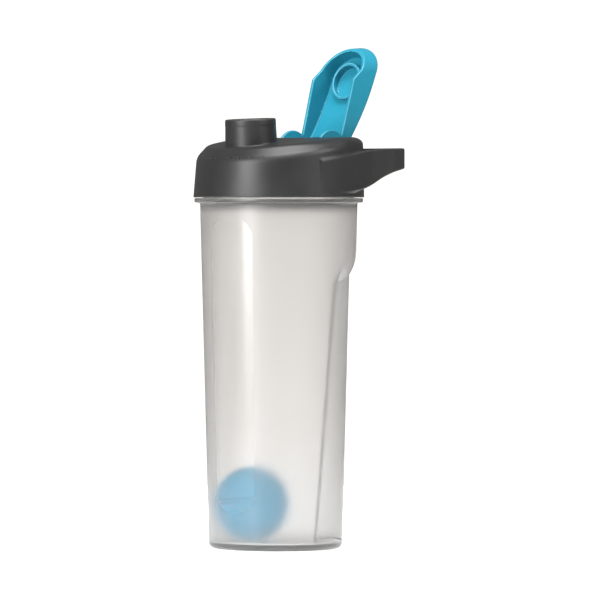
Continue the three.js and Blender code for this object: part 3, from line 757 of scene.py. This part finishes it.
# ---- materials ----
def new_look(slot, name=None):
    material = bpy.data.materials.new(name or slot)
    material.use_nodes = True
    shader = material.node_tree.nodes["Principled BSDF"]
    return SimpleNamespace(material=material, tree=material.node_tree, shader=shader, slot=slot)


def add_node(look, kind, inputs=None, **settings):
    made = look.tree.nodes.new(kind)
    for name, value in settings.items():
        setattr(made, name, value)
    for name, value in (inputs or {}).items():
        if isinstance(value, bpy.types.NodeSocket):
            look.tree.links.new(value, made.inputs[name])
        else:
            made.inputs[name].default_value = value
    return made


def sums(look, operation, first, second=0.0):
    """One step of arithmetic on node values."""
    return add_node(
        look, "ShaderNodeMath", {0: first, 1: second}, operation=operation).outputs[0]


def ramp(look, value, low, high, start, end):
    """value from low to high brought to start to end, smoothly."""
    node = add_node(look, "ShaderNodeMapRange", {
        "Value": value, "From Min": low, "From Max": high, "To Min": start, "To Max": end,
    }, interpolation_type="SMOOTHSTEP")
    return node.outputs["Result"]


def place_of(look):
    return add_node(look, "ShaderNodeTexCoord").outputs["Object"]


def noise(look, place, scale, detail):
    node = add_node(look, "ShaderNodeTexNoise", {
        "Vector": place, "Scale": scale, "Detail": detail, "Roughness": 0.5})
    return node.outputs["Fac"]


def mix_colour(look, share, first, second):
    node = look.tree.nodes.new("ShaderNodeMix")
    node.data_type = "RGBA"
    amount, colour_a, colour_b = (node.inputs[i] for i in (0, 6, 7))
    for socket, value in ((amount, share), (colour_a, first), (colour_b, second)):
        if isinstance(value, bpy.types.NodeSocket):
            look.tree.links.new(value, socket)
        else:
            socket.default_value = value
    return node.outputs[2]


def bump(look, height, distance, strength):
    return add_node(look, "ShaderNodeBump", {
        "Height": height, "Distance": distance, "Strength": strength}).outputs["Normal"]


def drive(look, **sockets):
    """Links or sets the shader's sockets. Spaces in their names are written as _."""
    for name, value in sockets.items():
        socket = look.shader.inputs[name.replace("_", " ")]
        if isinstance(value, bpy.types.NodeSocket):
            look.tree.links.new(value, socket)
        else:
            socket.default_value = value


def moulded_plastic(slot, name, dark, light, edge_wear_and_highlight, roughness, grain_scale, grain_depth):
    """Satin moulded plastic: fine grain, faint flow marks, and lighter convex edges that are partly
    rubbed wear and partly a painted highlight.
    """
    look = new_look(slot, name)
    place = place_of(look)
    flow = noise(look, place, 34, 4)
    grain = noise(look, place, grain_scale, 2)
    # Convex edges found by pointiness get a lighter colour: partly rubbed wear, partly a painted
    # highlight standing in for rims that catch the light.
    edges = add_node(look, "ShaderNodeNewGeometry").outputs["Pointiness"]
    rubbed_and_highlit_edges = sums(look, "MULTIPLY", ramp(look, edges, 0.515, 0.56, 0, 1),
                  ramp(look, flow, 0.35, 0.65, 0.3, 1))
    base = mix_colour(look, ramp(look, flow, 0.3, 0.7, 0, 1), dark, light)
    drive(
        look,
        Base_Color=mix_colour(look, rubbed_and_highlit_edges, base, edge_wear_and_highlight),
        Roughness=sums(look, "ADD",
                       ramp(look, flow, 0.25, 0.75, roughness - 0.04, roughness + 0.04),
                       ramp(look, grain, 0.3, 0.7, -0.02, 0.02)),
        Normal=bump(look, grain, grain_depth * MM, 0.7),
        IOR=1.46,
    )
    return look


def window_share(look, place):
    """1 inside the clear strip up the front of the wall and 0 outside it."""
    parts = add_node(look, "ShaderNodeSeparateXYZ", {0: place}).outputs
    turn = sums(look, "ARCTAN2", parts["Y"], sums(look, "MULTIPLY", parts["X"], -1.0))
    turn = sums(look, "ADD", turn, math.radians(WINDOW.turn))
    across = sums(look, "ABSOLUTE", sums(look, "MULTIPLY", turn, WINDOW.radius * MM))
    middle = (WINDOW.top_z + WINDOW.bottom_z) / 2 * MM
    half_height = (WINDOW.top_z - WINDOW.bottom_z) / 2
    up = sums(look, "ABSOLUTE", sums(look, "SUBTRACT", parts["Z"], middle))
    straight_across = (WINDOW.half_width - WINDOW.corner) * MM
    straight_up = (half_height - WINDOW.corner) * MM
    side = sums(look, "MAXIMUM", sums(look, "SUBTRACT", across, straight_across), 0.0)
    end = sums(look, "MAXIMUM", sums(look, "SUBTRACT", up, straight_up), 0.0)
    reach = sums(look, "SQRT", sums(look, "ADD", sums(look, "MULTIPLY", side, side),
                                    sums(look, "MULTIPLY", end, end)))
    near, far = (WINDOW.corner - WINDOW.fade) * MM, (WINDOW.corner + WINDOW.fade) * MM
    return ramp(look, reach, near, far, 1, 0)


def frosted_plastic():
    """Translucent polypropylene with a blasted skin, left smooth in the window strip."""
    look = new_look("frosted_plastic")
    place = place_of(look)
    clear = window_share(look, place)
    cloud = noise(look, place, 22, 3)
    grain = noise(look, place, 2600, 2)
    frost = sums(look, "ADD", ramp(look, cloud, 0.3, 0.7, 0.31, 0.35),
                 ramp(look, grain, 0.3, 0.7, -0.02, 0.02))
    clear_roughness = 0.22
    skin = sums(look, "MULTIPLY", grain, ramp(look, clear, 0, 1, 1, 0.05))
    milk = mix_colour(look, ramp(look, cloud, 0.3, 0.7, 0, 1),
                      (0.88, 0.872, 0.862, 1), (0.9, 0.895, 0.888, 1))
    drive(
        look,
        Base_Color=milk,
        Roughness=add_node(
            look, "ShaderNodeMix", {0: clear, 2: frost, 3: clear_roughness}).outputs[0],
        Normal=bump(look, skin, 0.012 * MM, 0.5),
        IOR=1.49,
        Transmission_Weight=0.94,
        Specular_IOR_Level=0.04,
    )
    haze = add_node(
        look, "ShaderNodeVolumeAbsorption", {"Color": (0.5, 0.5, 0.49, 1), "Density": 80.0})
    output = next(n for n in look.tree.nodes if n.type == "OUTPUT_MATERIAL")
    look.tree.links.new(haze.outputs[0], output.inputs["Volume"])
    return look


def soft_silicone():
    look = new_look("silicone")
    place = place_of(look)
    bloom = noise(look, place, 90, 4)
    dust = noise(look, place, 1500, 2)
    drive(
        look,
        Base_Color=mix_colour(look, bloom, (0.74, 0.74, 0.72, 1), (0.82, 0.82, 0.8, 1)),
        Roughness=ramp(look, bloom, 0.3, 0.7, 0.52, 0.66),
        Normal=bump(look, dust, 0.01 * MM, 0.5),
        Subsurface_Weight=0.15,
        Subsurface_Scale=0.001,
    )
    return look


def drawn_steel():
    look = new_look("pin_steel")
    place = place_of(look)
    stretched = add_node(
        look, "ShaderNodeMapping", {"Vector": place, "Scale": (1, 0.03, 1)}).outputs[0]
    lines = noise(look, stretched, 3000, 2)
    drive(
        look,
        Base_Color=mix_colour(look, lines, (0.56, 0.57, 0.58, 1), (0.66, 0.67, 0.68, 1)),
        Roughness=ramp(look, lines, 0.3, 0.7, 0.22, 0.34),
        Normal=bump(look, lines, 0.004 * MM, 0.4),
        Metallic=1.0,
    )
    return look


# ---- studio ----
CAMERA_AZIMUTH = -46.0
CAMERA = SimpleNamespace(
    lens=312.5, sensor=36, clip_end=30, aim_aside=0.0112, aim_z=0.1307, distance=2.75, height=0.184)
BACKDROP = SimpleNamespace(
    colour=(1.0, 0.965, 0.925, 1), edge=0.1, middle=0.95, edge_level=0.12, middle_level=1.12,
    shown=1.15, ambient=0.2)
FLOOR = SimpleNamespace(radius=0.6, corners=96, drop=0.0002)
LIT_Z = 0.13


def direction(azimuth, elevation=0.0):
    """From the object towards a camera or lamp at that azimuth and elevation in degrees."""
    a, e = math.radians(azimuth), math.radians(elevation)
    return Vector((math.sin(a) * math.cos(e), -math.cos(a) * math.cos(e), math.sin(e)))


def camera():
    lens = bpy.data.cameras.new("camera")
    lens.lens = CAMERA.lens
    lens.sensor_width = CAMERA.sensor
    lens.clip_end = CAMERA.clip_end
    viewer = bpy.data.objects.new("camera", lens)
    bpy.context.scene.collection.objects.link(viewer)
    back = direction(CAMERA_AZIMUTH)
    right = Vector((0, 0, 1)).cross(back)
    target = right * CAMERA.aim_aside + Vector((0, 0, CAMERA.aim_z))
    viewer.location = target + back * CAMERA.distance
    viewer.location.z = CAMERA.height
    viewer.rotation_euler = (target - viewer.location).to_track_quat("-Z", "Y").to_euler()
    bpy.context.scene.camera = viewer


def softbox(name, azimuth, elevation, distance, width, height, power):
    lamp = bpy.data.lights.new(name, "AREA")
    lamp.shape = "RECTANGLE"
    lamp.size = width
    lamp.size_y = height
    lamp.energy = power
    holder = bpy.data.objects.new(name, lamp)
    bpy.context.scene.collection.objects.link(holder)
    target = Vector((0, 0, LIT_Z))
    holder.location = target + direction(azimuth, elevation) * distance
    holder.rotation_euler = (target - holder.location).to_track_quat("-Z", "Y").to_euler()


def pair(tree, operation, first, second):
    """One step of arithmetic in the world's nodes."""
    made = tree.nodes.new("ShaderNodeMath")
    made.operation = operation
    tree.links.new(first, made.inputs[0])
    if isinstance(second, bpy.types.NodeSocket):
        tree.links.new(second, made.inputs[1])
    else:
        made.inputs[1].default_value = second
    return made.outputs[0]


def white_surroundings():
    """A white backdrop behind the object, darker round the sides of the studio."""
    world = bpy.data.worlds.new("studio")
    bpy.context.scene.world = world
    world.use_nodes = True
    tree = world.node_tree
    background = tree.nodes["Background"]
    background.inputs["Color"].default_value = BACKDROP.colour
    way = tree.nodes.new("ShaderNodeTexCoord").outputs["Generated"]
    facing = tree.nodes.new("ShaderNodeVectorMath")
    facing.operation = "DOT_PRODUCT"
    tree.links.new(way, facing.inputs[0])
    facing.inputs[1].default_value = direction(CAMERA_AZIMUTH + 180)
    level = tree.nodes.new("ShaderNodeMapRange")
    level.interpolation_type = "SMOOTHSTEP"
    level.inputs["From Min"].default_value = BACKDROP.edge
    level.inputs["From Max"].default_value = BACKDROP.middle
    level.inputs["To Min"].default_value = BACKDROP.edge_level
    level.inputs["To Max"].default_value = BACKDROP.middle_level
    tree.links.new(facing.outputs["Value"], level.inputs["Value"])
    rays = tree.nodes.new("ShaderNodeLightPath").outputs
    shown = pair(tree, "MULTIPLY", rays["Is Camera Ray"], BACKDROP.shown)
    through = pair(tree, "MULTIPLY", rays["Is Transmission Ray"], level.outputs["Result"])
    brightest = pair(tree, "MAXIMUM", shown, through)
    strength = pair(tree, "MAXIMUM", brightest, BACKDROP.ambient)
    tree.links.new(strength, background.inputs["Strength"])


def pale_floor():
    material = bpy.data.materials.new("floor_white")
    material.use_nodes = True
    shader = material.node_tree.nodes["Principled BSDF"]
    shader.inputs["Base Color"].default_value = (0.6, 0.6, 0.6, 1)
    shader.inputs["Roughness"].default_value = 0.9
    shader.inputs["Specular IOR Level"].default_value = 0
    shader.inputs["Emission Color"].default_value = (1, 1, 1, 1)
    shader.inputs["Emission Strength"].default_value = 1.0
    angle = 2 * math.pi * np.arange(FLOOR.corners) / FLOOR.corners
    edge = [(FLOOR.radius * math.cos(a), FLOOR.radius * math.sin(a), 0) for a in angle]
    mesh = bpy.data.meshes.new("floor")
    mesh.from_pydata(edge, [], [tuple(range(FLOOR.corners))])
    mesh.materials.append(material)
    floor = bpy.data.objects.new("floor", mesh)
    bpy.context.scene.collection.objects.link(floor)
    floor.location.z = -FLOOR.drop


# ---- the object ----
camera()
white_surroundings()
pale_floor()
softbox("key", CAMERA_AZIMUTH - 44, 18, distance=1.0, width=0.34, height=0.8, power=11)
softbox("overhead", CAMERA_AZIMUTH + 10, 76, distance=0.9, width=0.5, height=0.5, power=9)
softbox("fill", CAMERA_AZIMUTH + 60, 35, distance=1.3, width=0.6, height=0.9, power=9)
bpy.context.scene.view_settings.view_transform = "Standard"

# The lighter edge colours below are partly rubbed wear and partly a painted edge highlight.
charcoal = moulded_plastic(
    "charcoal_plastic", "lid_plastic", dark=(0.016, 0.016, 0.017, 1),
    light=(0.021, 0.021, 0.022, 1),
    edge_wear_and_highlight=(0.05, 0.05, 0.051, 1), roughness=0.4, grain_scale=1400, grain_depth=0.02)
blue = moulded_plastic(
    "blue_plastic", "cap_plastic", dark=(0.014, 0.235, 0.34, 1), light=(0.02, 0.265, 0.375, 1),
    edge_wear_and_highlight=(0.14, 0.47, 0.6, 1), roughness=0.36, grain_scale=1700, grain_depth=0.012)
ball_blue = moulded_plastic(
    "blue_plastic", "ball_plastic", dark=(0.003, 0.42, 0.72, 1), light=(0.004, 0.46, 0.78, 1),
    edge_wear_and_highlight=(0.05, 0.6, 0.9, 1), roughness=0.42, grain_scale=1700, grain_depth=0.012)

bottle_body(frosted_plastic())
lid_shell(charcoal)
gasket(soft_silicone())
flip_cap(blue)
hinge_pin(drawn_steel())
mixing_ball(ball_blue)
